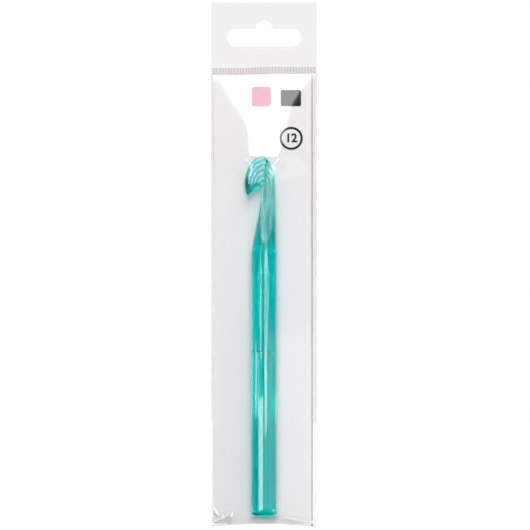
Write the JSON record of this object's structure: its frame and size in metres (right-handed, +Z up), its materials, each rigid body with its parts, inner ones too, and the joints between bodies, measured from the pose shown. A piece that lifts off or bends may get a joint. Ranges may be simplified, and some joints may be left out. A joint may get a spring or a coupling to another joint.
{
  "type": "crochet hook",
  "caption": "Translucent crochet hook with a thumb rest, tapered neck, throat and lip, loose in front of a card in a clear film hang bag with a euro slot.",
  "frame": {"origin": "centre of the round notch of the hang slot, on the plane of the bag's back", "axes": "+Z up as the bag hangs, along the hook from butt to crown; +Y out of the bag's back; +X to the right seen from the front, away from the hook's lip"},
  "size_m": [0.05, 0.0132, 0.2491],
  "materials": {
    "acrylic": "polished, tinted and translucent",
    "card": "smooth white board",
    "film": "clear glossy film",
    "header_film": "two layers of clear film",
    "seal": "welded film"
  },
  "bodies": {
    "bag": {"backing_card": "card", "front_panel": "film", "back_panel": "film", "header_strip": "header_film", "crimp_seal": "seal", "left_weld": "seal", "right_weld": "seal"},
    "hook": {"crochet_hook": "acrylic"}
  },
  "joints": [
    {"name": "hook_slide", "type": "slide", "parent": "bag", "child": "hook", "axis": [0, 0, 1], "range_m": [0, 0.008]}
  ]
}
